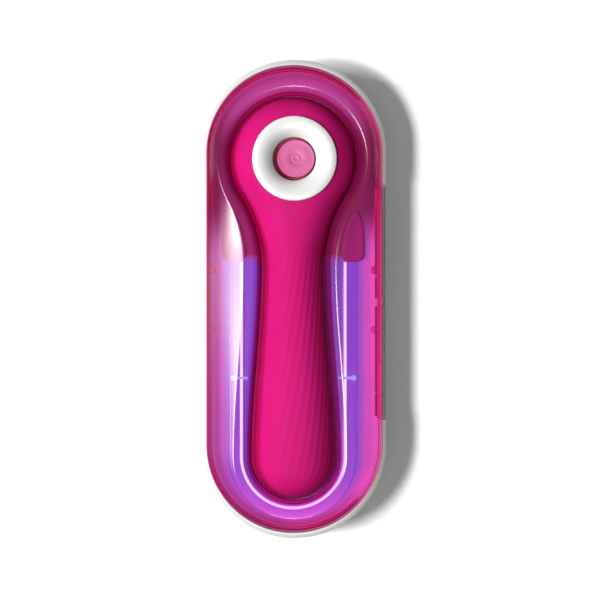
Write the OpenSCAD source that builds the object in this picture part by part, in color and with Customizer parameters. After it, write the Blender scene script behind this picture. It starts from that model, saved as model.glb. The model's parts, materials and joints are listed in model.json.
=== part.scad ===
// Handheld skin scrubber lying in its hinged, lit storage case.
// +X is the hinge side, +Y the head end, +Z up; the origin is the centre of the footprint.

/* [Case] */
// Length of the case
case_l = 195; // [194:0.5:197]
// Width of the case
case_w = 75.2; // [75:0.1:76]
// Height of the white rim above the table
rim_z = 29.9; // [29.6:0.1:30]
// Width of the white rim that shows around the lid
rim_t = 1.85; // [1.7:0.05:1.9]
// Radius of the rounded bottom edge of the case
base_round = 5; // [3:0.5:6]
// Height of the rubber feet below the case
foot_h = 1; // [0.6:0.1:1.4]
// Radius of a rubber foot
foot_r = 4; // [3:0.5:6]

/* [Lid] */
// Height of the lid's crest above the table
crest_z = 35; // [34:0.5:36]
// Height of the lid's outer shoulder above the table
shoulder_z = 31.5; // [31.3:0.1:32]
// Wall thickness of the lid
lid_t = 1.8; // [1.5:0.1:2]
// Gap between the scrubber and the lid's opening
lid_gap = 0.7; // [0.7:0.1:1]
// Lower edge of the collar that hangs around the opening
collar_z = 26; // [25:0.5:28]
// Lower edge of the tongue that drops inside the case wall
tongue_z = 25; // [24.5:0.5:27]

/* [Scrubber] */
// Radius of the round head
head_r = 25.7; // [25:0.1:26]
// Distance of the head's centre from the middle of the case
head_y = 56.8; // [56:0.1:57]
// Half width of the handle at its waist
waist_w = 12.9; // [12.5:0.1:13.4]
// Radius of the curve from head to waist
neck_r = 55.6; // [52:0.1:58]
// Half width and end radius of the handle's bulb
bulb_r = 17.1; // [16.5:0.1:17.4]
// Distance of the bulb's centre from the middle of the case
bulb_y = -64.5; // [-65:0.1:-63]
// Thickness of the silicone skin
skin_t = 2; // [1.8:0.1:2.1]
// Wall thickness of the rigid chassis under the skin
chassis_t = 1.6; // [1.3:0.1:1.7]

/* [Ring and button] */
// Outer radius of the white ring
ring_r = 17.1; // [16.6:0.1:17.2]
// Radius of the hole that the button sits in
ring_hole_r = 8.8; // [8.6:0.1:9]
// Radius of the button's face
button_r = 7.7; // [7.2:0.1:8]
// Travel of the button
button_travel = 0.8; // [0.4:0.1:0.8]

/* [Hidden] */
$fn = 64;

// Case: half straight length, and the radii of its steps
case_r = case_w / 2;
case_s = case_l / 2 - case_r;
end_extra = 0.9;                    // the white rim is this much wider at the two ends
lid_r = case_r - rim_t;
lid_s = case_s - end_extra;
cavity_r = case_r - 2.3;
floor_z = foot_h + 2.4;
skirt_z = rim_z + 0.2;
foot_sunk = 0.6;
foot_x = 20;
foot_y = 72;

// Tongue of the lid: left out along the hinge side, where it could not swing past the wall
tongue_out = lid_r - cavity_r + 0.3;
tongue_in = 1.85;
tongue_cut_y = 80;
tongue_cut_x = 20;
catch_half = 7;
catch_gap = 0.3;
plate_t = 0.6;

// Cradle
flange_z = 18.2;
flange_t = 1.6;
flange_top = flange_z + flange_t;
well_gap = 0.9;
well_t = 1.5;
well_floor_z = floor_z + 1.6;
screw_x = 33.2;
screw_ys = [11.9, -12.7];
screw_boss_r = 2.6;
screw_core_r = 0.8;
screw_head_r = 1.6;
screw_head_h = 0.7;
screw_tip_z = 10;

// Light guide: a U around the handle, with a rounded rib along its top
guide_in = 19.9;
guide_out = 26.4;
guide_top_y = 15.2;
guide_z = 13.4;
guide_top_z = 20;
guide_fit = 0.1;
rib_x = 21.3;
rib_r = 0.8;
rib_z = guide_top_z + 0.5;
clip_y = -32.4;
clip_x = [18.5, 24];
clip_half = 0.5;
clip_top_z = 22.3;
clip_post_w = 1.1;
clip_nub_x = 24.8;
clip_nub_z = 21.6;

// Lamp covers: a leaning pointed arch, full below, its tip towards the head
arch_at = [24.5, 19];
arch_half = 4.9;
arch_down = 3.8;
arch_up = 17.4;
arch_lean = 1.4;
arch_levels = [[0, 0.8], [0.5, 0.6], [1.3, 0.4]];   // inset and height of each level
lamp_y = guide_top_y + 1.4;
lamp_board_y = lamp_y + 1.4;

// Hinge: two groups of knuckles in a gap of the rim. The rim is rounded about the hinge line,
// so that the lid's edge can roll over it
hinge_x = 35;
hinge_z = 26.8;
rim_round = 3.2;
hinge_cut_y = [-49.2, 46.5];
hinge_mid_y = (hinge_cut_y[0] + hinge_cut_y[1]) / 2;
hinge_ys = [hinge_mid_y - 24, hinge_mid_y + 24];
hinge_cut_z = 24.4;
knuckle_r = 1.9;
pin_r = 1;
base_bore_r = pin_r + 0.02;
lid_bore_r = pin_r + 0.05;
lid_knuckle_l = 26;
base_knuckle_l = 9;
knuckle_gap = 0.4;
pin_l = lid_knuckle_l + 2 * base_knuckle_l + 2 * knuckle_gap;
base_leaf_x = [35.4, 36.3];
lid_leaf_x = [34, lid_r];
web_z = hinge_z + knuckle_r + 0.2;

// Socket in the end wall, and its board
socket_z = 8.8;
socket_half = 4.5;
socket_h = 3.2;
socket_wall = 0.4;
socket_y = [89, 96.8];
slot_fit = 0.2;
board_z = 6;
board_t = 1.2;
board_half = 10;
board_y = [86, 93.4];
post_at = [7.5, 88.5];
post_r = 1.8;

// Scrubber: heights of its surface above and below the parting plane
mid_z = 21;
head_top = 17.5;
head_low = 14;
handle_half = 14.5;
head_n = 2.9;
handle_n = 2.2;
neck_x = waist_w + neck_r;
waist_y = head_y - sqrt(pow(head_r + neck_r, 2) - pow(neck_x, 2));
neck_a = atan2(head_y - waist_y, neck_x);
chassis_d = skin_t + 0.1;

// Ring: its crest, its foot and the round that rolls into the hole
ring_crest_r = 15.6;
ring_crest_z = 38.4;
ring_foot_z = 33.4;
ring_edge_r = ring_r - ring_crest_r;
ring_roll_r = 8.5;

// Button: face, flange under the ring, stem, and the seat that they sink into
button_top_z = 34.2;
button_flange_r = 9.6;
button_flange_z = 31.2;
switch_top_z = 27.1;
press_gap = 0.1;                    // left between stem and switch at full travel
stem_r = 1.6;
stem_z = switch_top_z + button_travel + press_gap;
seat_z = 28.8;
seat_floor_z = button_flange_z - button_travel - 0.3;
seat_hole_r = 10.1;

// Motor and battery
motor_r = 5.5;
motor_z = 18;
motor_y = [46, 64];
battery_r = 7;
battery_z = 20;
battery_y = [-62, -12];
contact_at = [4.5, -58];
contact_r = 1.6;
boss_at = [17.2, 6.5];
boss_r = 2.2;
driver_r = 1.8;
pad_r = 15;
pad_z = [7.2, 8.9];
nub_r = 0.9;
nub_z = 5.4;
nub_pitch = 3.3;

// ---------------------------------------------------------------- outline

function mix(a, b, t) = a + (b - a) * t;
function ease(t) = t * t * (3 - 2 * t);
function clamp01(t) = max(0, min(1, t));

// Right half of the scrubber's outline, from the top of the head to the tip of the handle.
// Each entry is a point and the outward normal there: [x, y, nx, ny].
function arc_entry(y, r, a) = [r * cos(a), y + r * sin(a), cos(a), sin(a)];
function neck_entry(a) = [neck_x - neck_r * cos(a), waist_y + neck_r * sin(a), cos(a), -sin(a)];
function handle_entry(t) =
    let (dx = (bulb_r - waist_w) * 6 * t * (1 - t), dy = waist_y - bulb_y, l = sqrt(dx * dx + dy * dy))
    [mix(waist_w, bulb_r, ease(t)), mix(waist_y, bulb_y, t), dy / l, dx / l];
head_steps = 14;
neck_steps = 6;
handle_steps = 8;
bulb_steps = 8;
half = concat(
    [for (i = [0:head_steps]) arc_entry(head_y, head_r, mix(90, -neck_a, i / head_steps))],
    [for (i = [1:neck_steps]) neck_entry(neck_a * (1 - i / neck_steps))],
    [for (i = [1:handle_steps]) handle_entry(i / handle_steps)],
    [for (i = [1:bulb_steps]) arc_entry(bulb_y, bulb_r, -90 * i / bulb_steps)]);
last = len(half) - 1;
outline = concat(half, [for (i = [last - 1:-1:1]) [-half[i].x, half[i].y, -half[i][2], half[i][3]]]);

function grown(e, d) = [e.x + d * e[2], e.y + d * e[3]];
function contour(d) = [for (e = outline) grown(e, d)];

// Where the normal from an outline entry meets a stadium of radius r and half length s
function reach(e, r, s) =
    let (t = (r - abs(e.x)) / max(abs(e[2]), 0.001), y = e.y + t * e[3])
    abs(y) <= s ? [e.x + t * e[2], y]
    : let (cy = sign(y) * s, b = e.x * e[2] + (e.y - cy) * e[3],
           c = e.x * e.x + pow(e.y - cy, 2) - r * r, u = sqrt(b * b - c) - b)
      [e.x + u * e[2], e.y + u * e[3]];
function at_z(points, z) = [for (p = points) [p.x, p.y, z]];

// Crest of the lid: close round the head, wider beside the handle
function crest_d(e) = mix(5.7, 7.5, ease(clamp01((head_y - e.y) / (head_y - waist_y))));

// ---------------------------------------------------------------- lofts

// Joins rings of points into a body; the last ring meets the first
module ring_body(rings) {
    n = len(rings[0]);
    m = len(rings);
    polyhedron(
        points = [for (r = rings) for (p = r) p],
        faces = [for (j = [0:m - 1]) for (i = [0:n - 1])
            let (a = j * n + i, b = j * n + (i + 1) % n,
                 c = (j + 1) % m * n + (i + 1) % n, d = (j + 1) % m * n + i)
            each [[a, b, c], [a, c, d]]],
        convexity = 8);
}

// Half height of the scrubber at y, above (up = 1) or below (up = -1) the parting plane
function end_factor(v, n) = pow(max(0, 1 - pow(clamp01(v), n)), 1 / n);
function body_n(y) = mix(handle_n, head_n, ease(clamp01((y - waist_y) / (head_y - waist_y))));
function half_height(y, d, up) =
    let (t = ease(clamp01((y - waist_y) / (head_y - waist_y))),
         h = mix(handle_half, up > 0 ? head_top : head_low, t) - d)
    h * end_factor((y - head_y) / (head_r - d), head_n)
      * end_factor((bulb_y - y) / (bulb_r - d), handle_n);
function signed_pow(v, p) = sign(v) * pow(abs(v), p);

// One point of the scrubber's surface, d inside it, at station i and angle a round the section
function body_point(i, a, d) =
    let (e = grown(half[i], -d), n = body_n(e.y), h = half_height(e.y, d, sin(a)))
    [e.x * signed_pow(cos(a), 2 / n), e.y, mid_z + h * signed_pow(sin(a), 2 / n)];

// The scrubber's whole body, d inside its surface
module body_loft(d, sides) {
    rings = [for (i = [1:last - 1]) [for (k = [0:sides - 1]) body_point(i, 360 * k / sides, d)]];
    n = sides;
    m = len(rings);
    tip = m * n;
    polyhedron(
        points = concat([for (r = rings) each r],
                        [[0, half[0].y - d, mid_z], [0, half[last].y + d, mid_z]]),
        faces = concat(
            [for (j = [0:m - 2]) for (k = [0:n - 1])
                let (a = j * n + k, b = j * n + (k + 1) % n, c = a + n, e = b + n)
                each [[a, c, b], [b, c, e]]],
            [for (k = [0:n - 1]) [tip, k, (k + 1) % n]],
            [for (k = [0:n - 1]) [tip + 1, (m - 1) * n + (k + 1) % n, (m - 1) * n + k]]),
        convexity = 6);
}

// One half of the chassis: a shell above (up = 1) or below (up = -1) the parting plane
module half_shell(up, gap) {
    sides = 20;
    intersection() {
        difference() {
            body_loft(chassis_d, sides);
            body_loft(chassis_d + chassis_t, sides);
        }
        translate([-50, -100, up > 0 ? mid_z + gap : 0]) cube([100, 200, mid_z - gap]);
    }
}

// ---------------------------------------------------------------- shapes

module stadium(r, s) {
    square([2 * r, 2 * s], center = true);
    for (y = [-s, s]) translate([0, y]) circle(r);
}

module slab(r, s, z0, z1) {
    translate([0, 0, z0]) linear_extrude(z1 - z0) stadium(r, s);
}

module prism(d, z0, z1) {
    translate([0, 0, z0]) linear_extrude(z1 - z0) polygon(contour(d));
}

module disc(r, z0, z1) {
    translate([0, 0, z0]) cylinder(r = r, h = z1 - z0);
}

module box(low, high) {
    translate(low) cube(high - low);
}

module rod_y(r, x, z, y0, y1) {
    translate([x, y0, z]) rotate([-90, 0, 0]) cylinder(r = r, h = y1 - y0);
}

module both_sides() {
    children();
    mirror([1, 0, 0]) children();
}

module screw_places() {
    both_sides() for (y = screw_ys) translate([screw_x, y, 0]) children();
}

module foot_places() {
    both_sides() for (y = [-foot_y, foot_y]) translate([foot_x, y, 0]) children();
}

module boss_places() {
    both_sides() for (s = [-1, 1]) translate([boss_at.x, head_y + s * boss_at.y, 0]) children();
}

// U open towards the head, between two radii round the bulb's centre
module u_shape(r_in, r_out, top_y) {
    difference() {
        union() {
            translate([-r_out, bulb_y]) square([2 * r_out, top_y - bulb_y]);
            translate([0, bulb_y]) circle(r_out);
        }
        translate([-r_in, bulb_y]) square([2 * r_in, top_y - bulb_y + 1]);
        translate([0, bulb_y]) circle(r_in);
    }
}

// Outline of a lamp cover, d larger all round
function arch_side(d, side) = concat(
    [for (a = [90:-10:0])
        arch_at + [side * (arch_half + d) * pow(cos(a), 0.77), -(arch_down + d) * sin(a)]],
    [for (i = [1:9])
        let (v = 1 - pow(1 - i / 10, 1.6))
        arch_at + [arch_lean * pow(v, 1.3) + side * (arch_half + d) * pow(1 - v * v, 0.7),
                   (arch_up + d) * v]]);
function arch_points(d) =
    let (left = arch_side(d, -1), n = len(left))
    concat(arch_side(d, 1), [arch_at + [arch_lean, arch_up + d]], [for (i = [n - 1:-1:1]) left[i]]);

// ---------------------------------------------------------------- case

// Right half of the case's outer section, with its rounded bottom edge and rounded rim
module case_profile() {
    difference() {
        translate([0, foot_h]) square([case_r, rim_z - foot_h]);
        translate([case_r - base_round, foot_h]) difference() {
            square(base_round);
            translate([0, base_round]) circle(base_round);
        }
        translate([hinge_x, hinge_z]) difference() {
            square(rim_round + 1);
            circle(rim_round);
        }
    }
}

module base_shell() color("whitesmoke") difference() {
    union() {
        difference() {
            union() {
                for (y = [-case_s, case_s]) translate([0, y, 0]) rotate_extrude() case_profile();
                both_sides() rotate([90, 0, 0]) linear_extrude(2 * case_s, center = true) case_profile();
            }
            slab(cavity_r, case_s, floor_z, rim_z + 1);
        }
        screw_places() disc(screw_boss_r, floor_z, flange_z);
        both_sides() translate(post_at) disc(post_r, floor_z, board_z);
    }
    box([cavity_r - 1, hinge_cut_y[0], hinge_cut_z], [case_r + 1, hinge_cut_y[1], rim_z + 1]);
    screw_places() disc(screw_core_r + 0.05, screw_tip_z - 1, flange_z + 1);
    foot_places() disc(foot_r + 0.05, 0, foot_h + foot_sunk);
    box([-socket_half - slot_fit, 94, socket_z - socket_h / 2 - slot_fit],
        [socket_half + slot_fit, 100, socket_z + socket_h / 2 + slot_fit]);
}

module base_feet() color("dimgray") foot_places() disc(foot_r, 0, foot_h + foot_sunk);

module cradle() color("orchid") difference() {
    union() {
        slab(cavity_r - 0.3, case_s, flange_z, flange_top);
        prism(well_gap + well_t, floor_z, flange_z);
        translate([0, 0, guide_z - 1.2]) linear_extrude(flange_z - guide_z + 1.2)
            u_shape(guide_in - 1.4, guide_out + 1.2, guide_top_y + 1.2);
    }
    prism(well_gap, well_floor_z, flange_top + 1);
    translate([0, 0, guide_z]) linear_extrude(flange_top)
        u_shape(guide_in - guide_fit, guide_out + guide_fit, guide_top_y + guide_fit);
    screw_places() disc(screw_core_r + 0.1, flange_z - 1, flange_top + 1);
    both_sides() translate(contact_at) disc(1.3, 0, well_floor_z + 1);
}

module cradle_screws() color("silver") screw_places() {
    disc(screw_core_r, screw_tip_z, flange_top + 0.1);
    disc(screw_head_r, flange_top, flange_top + screw_head_h);
}

module light_guide() color("mediumslateblue") {
    translate([0, 0, guide_z]) linear_extrude(guide_top_z - guide_z)
        u_shape(guide_in, guide_out, guide_top_y);
    both_sides() rod_y(rib_r, rib_x, rib_z, bulb_y, guide_top_y);
    translate([0, bulb_y, rib_z]) rotate([0, 0, 180]) rotate_extrude(angle = 180)
        translate([rib_x, 0]) circle(rib_r);
}

// A bar over the rib, its post on the inner side and a round nub on the outer side
module guide_clips() color("plum") both_sides() difference() {
    union() {
        box([clip_x[0], clip_y - clip_half, flange_top + 0.3], [clip_x[1], clip_y + clip_half, clip_top_z]);
        translate([clip_nub_x, clip_y, 0]) disc(1.1, guide_top_z, clip_nub_z);
        box([clip_x[0], clip_y - clip_half, flange_top],
            [clip_x[0] + clip_post_w, clip_y + clip_half, clip_top_z]);
    }
    rod_y(rib_r + 0.1, rib_x, rib_z, clip_y - 2, clip_y + 2);
    box([clip_x[0] + clip_post_w, clip_y - 1, flange_top], [clip_nub_x - 1.2, clip_y + 1, guide_top_z + 0.1]);
}

module led_covers() color("mediumvioletred") both_sides() for (i = [0:2])
    translate([0, 0, flange_top + (i > 0 ? arch_levels[0][1] : 0) + (i > 1 ? arch_levels[1][1] : 0)])
        linear_extrude(arch_levels[i][1]) polygon(arch_points(-arch_levels[i][0]));

module led_lamps() color("lavender") both_sides() box([21.6, lamp_y, 14], [24.6, lamp_board_y, 17]);

module led_boards() color("darkgreen") both_sides()
    box([20, lamp_board_y, 11], [27.6, lamp_board_y + board_t, flange_z]);

module charge_studs() color("gold") both_sides() translate(contact_at) disc(1.2, floor_z, 6.1);

module charge_board() color("darkgreen")
    box([-board_half, board_y[0], board_z], [board_half, board_y[1], board_z + board_t]);

module power_socket() color("silver") translate([0, 0, board_z + board_t]) difference() {
    box([-socket_half, socket_y[0], 0], [socket_half, socket_y[1], socket_h]);
    box([socket_wall - socket_half, socket_y[0] + 1.5, socket_wall],
        [socket_half - socket_wall, socket_y[1] + 1, socket_h - socket_wall]);
}

// Stands on the cradle's flange, right under the steel plate of the lid's tongue
module catch_magnet() color("dimgray")
    box([tongue_out - lid_r, -catch_half, flange_top],
        [tongue_in - lid_r, catch_half, tongue_z - plate_t - catch_gap]);

// Knuckle of the hinge between y0 and y1, with its bore
module knuckle(y0, y1, bore) {
    difference() {
        union() {
            rod_y(knuckle_r, hinge_x, hinge_z, y0, y1);
            children();
        }
        rod_y(bore, hinge_x, hinge_z, y0 - 1, y1 + 1);
    }
}

module base_hinge_leaves() color("gainsboro") for (c = hinge_ys) for (s = [-1, 1]) {
    y = c + s * (lid_knuckle_l + base_knuckle_l + 2 * knuckle_gap) / 2;
    y0 = y - base_knuckle_l / 2;
    y1 = y + base_knuckle_l / 2;
    knuckle(y0, y1, base_bore_r)
        box([base_leaf_x[0], y0, hinge_cut_z], [base_leaf_x[1], y1, hinge_z]);
}

module hinge_pins() color("silver") for (c = hinge_ys)
    rod_y(pin_r, hinge_x, hinge_z, c - pin_l / 2, c + pin_l / 2);

// Knuckles of the lid, and the web over them that joins them to the lid's edge
module lid_hinge_leaves() color("hotpink") {
    for (c = hinge_ys) {
        y0 = c - lid_knuckle_l / 2;
        y1 = c + lid_knuckle_l / 2;
        knuckle(y0, y1, lid_bore_r) box([lid_leaf_x[0], y0, hinge_z], [lid_leaf_x[1], y1, web_z]);
    }
    box([lid_leaf_x[0], hinge_cut_y[0] + 0.5, web_z], [lid_leaf_x[1], hinge_cut_y[1] - 0.5, skirt_z]);
}

// Lid: edge, shoulder, flank rising to the crest, land, a collar round the opening, and a tongue.
// The flank is steeper outside and eases towards the crest
edge_in = 1;
flank_bend = 0.28;
function flank_z(t) = shoulder_z + (crest_z - shoulder_z) * (t + flank_bend * t * (1 - t));
function skirt_ring(d, z) = at_z([for (e = outline) reach(e, lid_r - d, lid_s)], z);
function flank_ring(t, d, lift) = [for (e = outline)
    let (a = reach(e, lid_r - edge_in - d, lid_s), b = grown(e, crest_d(e) - d * 0.3))
    [mix(a.x, b.x, t), mix(a.y, b.y, t), flank_z(t) - lift]];

module lid() color("deeppink", 0.6) difference() {
    lid_body();
    box([tongue_cut_x, -tongue_cut_y, tongue_z - 1], [case_r + 1, tongue_cut_y, skirt_z]);
}

module lid_body() ring_body([
    skirt_ring(0, skirt_z),
    skirt_ring(0, shoulder_z - 0.9),
    skirt_ring(0.3, shoulder_z - 0.35),
    flank_ring(0, 0, 0),
    flank_ring(0.35, 0, 0),
    flank_ring(0.7, 0, 0),
    flank_ring(1, 0, 0),
    at_z(contour(3.4), crest_z - 0.2),
    at_z(contour(lid_gap + 0.6), crest_z - 2.4),
    at_z(contour(lid_gap), crest_z - 3.4),
    at_z(contour(lid_gap), collar_z),
    at_z(contour(lid_gap + 1.5), collar_z),
    at_z(contour(lid_gap + 1.6), crest_z - 4.2),
    at_z(contour(3.9), crest_z - 0.2 - lid_t),
    flank_ring(1, 1, lid_t),
    flank_ring(0.6, 1, lid_t),
    flank_ring(0.2, 1, lid_t),
    skirt_ring(tongue_in, shoulder_z - 1.9),
    skirt_ring(tongue_in, tongue_z),
    skirt_ring(tongue_out, tongue_z),
    skirt_ring(tongue_out, skirt_z)]);

// Steel plate under the tongue, opposite the hinge
module catch_plate() color("silver")
    box([tongue_out - lid_r, -catch_half, tongue_z - plate_t], [tongue_in - lid_r, catch_half, tongue_z]);

// ---------------------------------------------------------------- scrubber

module grip_skin() color("deeppink") difference() {
    body_loft(0, 28);
    body_loft(skin_t, 28);
    translate([0, head_y, 0]) disc(ring_r + 0.1, mid_z + 6, 45);
    translate([0, head_y, 0]) disc(pad_r + 0.1, 0, mid_z - 6);
    both_sides() translate(contact_at) disc(contact_r + 0.1, 0, mid_z - 8);
}

module bezel_ring() color("whitesmoke") translate([0, head_y, 0]) rotate_extrude() {
    intersection() {
        translate([ring_hole_r, ring_foot_z])
            square([ring_crest_r - ring_hole_r, ring_crest_z - ring_foot_z]);
        translate([ring_crest_r, ring_crest_z - ring_roll_r]) circle(ring_roll_r);
    }
    translate([ring_crest_r, ring_foot_z])
        square([ring_edge_r, ring_crest_z - ring_edge_r - ring_foot_z]);
    intersection() {
        translate([ring_crest_r, ring_crest_z - ring_edge_r]) circle(ring_edge_r);
        translate([ring_crest_r, ring_crest_z - ring_edge_r]) square(ring_edge_r);
    }
}

module power_button() color("palevioletred") translate([0, head_y, 0]) {
    disc(button_r, button_flange_z + 1, button_top_z);
    disc(button_flange_r, button_flange_z, button_flange_z + 1.2);
    disc(stem_r, stem_z, button_flange_z + 0.1);
}

module scrub_pad() color("deeppink") translate([0, head_y, 0]) {
    disc(pad_r, pad_z[0], pad_z[1]);
    disc(nub_r, nub_z, pad_z[0] + 0.1);
    for (ring = [1:4]) for (k = [0:6 * ring - 1])
        rotate([0, 0, 60 * k / ring]) translate([nub_pitch * ring, 0, 0])
            disc(nub_r, nub_z, pad_z[0] + 0.1);
}

module chassis_top() color("lightgray") difference() {
    union() {
        difference() {
            half_shell(1, 0.05);
            translate([0, head_y, 0]) disc(ring_r + 0.2, seat_z - 0.5, 45);
        }
        translate([0, head_y, 0]) disc(ring_r + 0.6, seat_z, ring_foot_z);
        boss_places() disc(boss_r, mid_z + 0.05, seat_z + 0.1);
    }
    translate([0, head_y, 0]) disc(seat_hole_r, seat_floor_z, 45);
    translate([0, head_y, 0]) disc(5, mid_z, 45);
    boss_places() disc(1, mid_z - 1, 27);
}

module chassis_bottom() color("gray") difference() {
    union() {
        half_shell(-1, 0.05);
        boss_places() disc(boss_r, 13.2, mid_z - 0.05);
    }
    boss_places() disc(1, 10, mid_z + 1);
    boss_places() disc(driver_r, 0, 14.7);
    both_sides() translate(contact_at) disc(contact_r + 0.1, 0, 12);
}

module chassis_screws() color("silver") boss_places() {
    disc(driver_r - 0.1, 13.4, 14.6);
    disc(0.9, 14.5, 26.5);
}

module charge_contacts() color("gold") both_sides() translate(contact_at) disc(contact_r, 6.5, 11);

module battery() color("steelblue") {
    rod_y(battery_r, 0, battery_z, battery_y[0], battery_y[1]);
    rod_y(2.5, 0, battery_z, battery_y[1] - 0.1, battery_y[1] + 1.2);
}

module motor_can() color("silver") difference() {
    rod_y(motor_r, 0, motor_z, motor_y[0], motor_y[1]);
    rod_y(1.05, 0, motor_z, motor_y[0] + 8, motor_y[1] + 1);
}

module motor_bracket() color("slategray") difference() {
    box([-8, 50, 11.1], [8, 60, motor_z]);
    rod_y(motor_r + 0.05, 0, motor_z, 49, 61);
}

module motor_shaft() color("gainsboro") rod_y(1, 0, motor_z, motor_y[0] + 9, motor_y[1] + 10);

module motor_weight() color("darkgoldenrod") difference() {
    rod_y(4.8, 0, motor_z, motor_y[1] + 2, motor_y[1] + 8);
    box([-6, motor_y[1], motor_z + 1.8], [6, motor_y[1] + 10, motor_z + 8]);
    rod_y(1.005, 0, motor_z, motor_y[1], motor_y[1] + 10);
}

module circuit_board() color("darkgreen") box([-12, 42, 24.8], [12, 71.6, 26]);

module button_switch() color("dimgray") translate([0, head_y, 0]) {
    box([-3, -3, 26], [3, 3, 26.8]);
    disc(1.5, 26.7, switch_top_z);
}

base_shell();
base_feet();
cradle();
light_guide();
guide_clips();
led_covers();
led_lamps();
led_boards();
charge_studs();
charge_board();
power_socket();
base_hinge_leaves();
hinge_pins();
cradle_screws();
catch_magnet();
lid();
lid_hinge_leaves();
catch_plate();
grip_skin();
scrub_pad();
chassis_top();
chassis_bottom();
chassis_screws();
battery();
motor_can();
motor_bracket();
circuit_board();
button_switch();
bezel_ring();
charge_contacts();
power_button();
motor_shaft();
motor_weight();
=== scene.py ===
"""Looks of the skin scrubber in its hinged case: meshes, materials, light and camera, in metres."""

import json
import math

import bpy
import bmesh
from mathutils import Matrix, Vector


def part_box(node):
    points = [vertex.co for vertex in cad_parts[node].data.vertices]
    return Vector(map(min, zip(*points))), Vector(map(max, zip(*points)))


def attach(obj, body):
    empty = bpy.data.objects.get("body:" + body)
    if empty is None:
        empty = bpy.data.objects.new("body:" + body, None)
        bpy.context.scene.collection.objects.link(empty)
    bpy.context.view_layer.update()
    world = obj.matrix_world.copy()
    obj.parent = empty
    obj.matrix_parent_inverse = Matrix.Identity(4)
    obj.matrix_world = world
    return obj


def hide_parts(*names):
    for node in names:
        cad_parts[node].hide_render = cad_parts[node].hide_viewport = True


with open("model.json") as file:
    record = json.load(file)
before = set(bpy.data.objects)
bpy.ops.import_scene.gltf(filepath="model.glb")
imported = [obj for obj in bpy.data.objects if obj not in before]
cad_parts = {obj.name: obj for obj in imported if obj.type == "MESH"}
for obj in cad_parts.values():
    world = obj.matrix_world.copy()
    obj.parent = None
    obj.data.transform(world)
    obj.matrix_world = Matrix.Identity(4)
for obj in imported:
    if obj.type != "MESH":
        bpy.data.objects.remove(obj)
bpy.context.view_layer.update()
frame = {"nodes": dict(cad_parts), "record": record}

MM = 0.001


# ---------------------------------------------------------------- sizes from the frame

def box_of(node):
    low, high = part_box(node)
    return Vector(low), Vector(high)


lid_low, lid_high = box_of("lid")
skin_low, skin_high = box_of("grip_skin")
ring_low, ring_high = box_of("bezel_ring")
button_low, button_high = box_of("power_button")
pad_low, pad_high = box_of("scrub_pad")
cradle_high = box_of("cradle")[1]
cover_low, cover_high = box_of("led_covers")
guide_low, guide_high = box_of("light_guide")

# Lid: a stadium outside, and the scrubber's outline inside. S is half its straight length.
LID_R = lid_high.x
LID_S = lid_high.y - LID_R
TONGUE_Z = lid_low.z
SKIRT_Z = TONGUE_Z + 5.1 * MM
CREST_Z = lid_high.z
SHOULDER_Z = CREST_Z - 3.9 * MM
SLOPE_Z = CREST_Z - 3.4 * MM
COLLAR_Z = TONGUE_Z + 1 * MM
LID_T = 1.8 * MM
COLLAR_T = 1.5 * MM
LID_GAP = 0.3 * MM
LAND_D = 3.4 * MM                      # from the opening to the inner edge of the crest
CREST_D_MM = (5.7, 7.5)                # and to its outer edge, at the head and at the handle
FLANK_BEND = 0.25
TONGUE_OUT = 0.75 * MM                 # the tongue stands inside the skirt, between these two
TONGUE_IN = 1.85 * MM
TONGUE_FADE_X = 20 * MM                # beyond this x, on the hinge side, the tongue fades out
TONGUE_FADE_Y = 80 * MM
TONGUE_FADE = 7 * MM

# Scrubber: head arc, neck arc, widening handle, tail arc. N are the exponents of its sections.
HEAD_Y = (ring_low.y + ring_high.y) / 2
HEAD_R = skin_high.x
WAIST_W = 12.9 * MM
NECK_R = 55.6 * MM
BULB_R = 17.1 * MM
BULB_Y = skin_low.y + BULB_R
NECK_X = WAIST_W + NECK_R
WAIST_Y = HEAD_Y - math.sqrt((HEAD_R + NECK_R) ** 2 - NECK_X ** 2)
NECK_A = math.atan2(HEAD_Y - WAIST_Y, NECK_X)
MID_Z = 21 * MM
HEAD_TOP = 17.5 * MM
HEAD_LOW = 14 * MM
HANDLE_HALF = 14.5 * MM
HEAD_N = 2.9
HANDLE_N = 2.2
RIB_COUNT = 34
RIB_TWIST = 0.01 / MM
RIB_DEPTH = 0.09 * MM

RING_R = ring_high.x
RING_HOLE_R = 8.8 * MM
RING_EDGE_R = 0.6 * MM
BUTTON_R = 7.7 * MM
BUTTON_FLANGE_R = 9.6 * MM
BUTTON_FLANGE_T = 0.8 * MM
BUTTON_FACE_Z = button_high.z - 0.6 * MM
BUTTON_SHIFT = Vector((0.75, 0.15)) * MM

GUIDE_IN, GUIDE_OUT = guide_high.x - 6.5 * MM, guide_high.x
GUIDE_TOP_Y = guide_high.y
RIB_R = 0.62 * MM
RIB_X = GUIDE_IN + 1.4 * MM
RIB_Z = guide_high.z - RIB_R
GUIDE_LOW, GUIDE_TOP = guide_low.z, RIB_Z - 0.5 * MM
# Below this height the lid's hinge leaves are painted the grey of the shaded hinge recess.
LEAF_Z = 28.75 * MM                    # the lid's hinge leaves show above this height
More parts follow.
